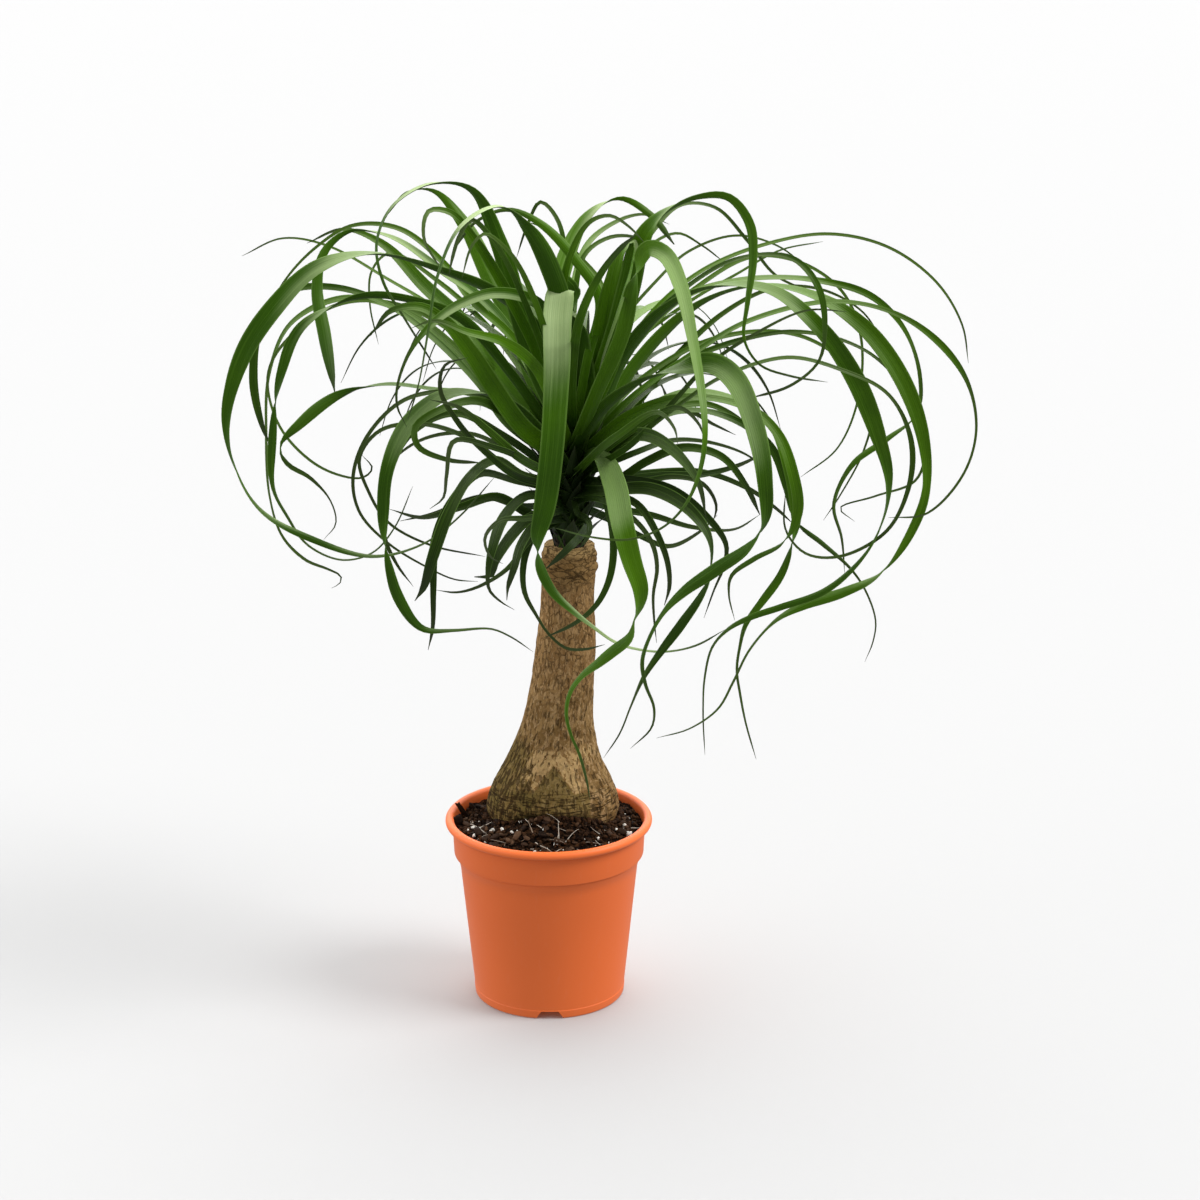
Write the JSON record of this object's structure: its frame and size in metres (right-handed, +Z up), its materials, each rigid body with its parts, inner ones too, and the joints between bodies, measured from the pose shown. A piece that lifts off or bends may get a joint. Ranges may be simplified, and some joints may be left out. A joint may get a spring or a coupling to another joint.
{
  "type": "potted ponytail palm",
  "caption": "Young ponytail palm with a swollen bulb-like trunk and a loose crown of arching strap leaves, growing in a terracotta-coloured plastic nursery pot.",
  "frame": {"origin": "centre of the pot's foot, on the surface that it stands on", "axes": "+Z up along the pot's axis, -Y toward the side that the picture sees, +X to its right"},
  "size_m": [0.5929, 0.5745, 0.7011],
  "materials": {
    "pot": "satin terracotta-coloured plastic",
    "potting_mix": "dark fibrous potting mix with bark and white grains",
    "trunk": "rough tan-brown bark with upright cracks",
    "leaf_crown": "smooth green leaf with a soft sheen"
  },
  "bodies": {
    "root": {"pot": "pot", "potting_mix": "potting_mix", "trunk": "trunk", "leaf_crown": "leaf_crown"}
  },
  "joints": []
}
